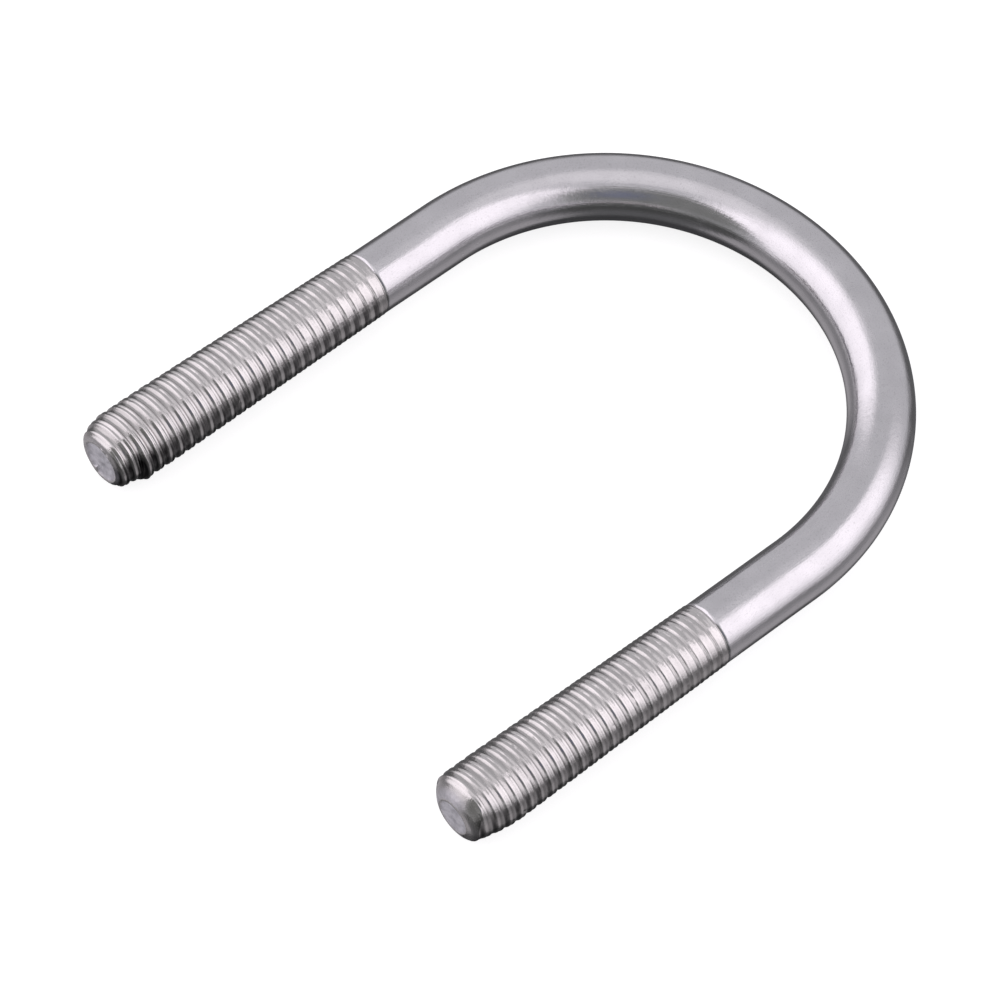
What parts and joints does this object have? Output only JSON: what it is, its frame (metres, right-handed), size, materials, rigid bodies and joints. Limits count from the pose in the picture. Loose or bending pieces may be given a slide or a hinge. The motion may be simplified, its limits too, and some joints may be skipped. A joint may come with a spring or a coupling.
{
  "type": "u-bolt",
  "caption": "Round steel rod bent to a U with a rolled thread on each parallel leg, to clamp a pipe or tube of DN25 size.",
  "frame": {"origin": "centre of the bend, on the rod's mid-plane, where the axis of the clamped pipe passes", "axes": "+X from the open end towards the bend, +Y towards the left leg as seen from the open end, +Z along the clamped pipe, square to the plane of the U"},
  "size_m": [0.0564, 0.0462, 0.006],
  "materials": {
    "rod_steel": "drawn and polished stainless rod, satin, with fine lengthwise draw lines",
    "thread_steel": "rolled stainless thread, bright crests with a fine seam, duller roots"
  },
  "bodies": {
    "root": {"plain_bend": "rod_steel", "left_threaded_end": "thread_steel", "right_threaded_end": "thread_steel"}
  },
  "joints": []
}
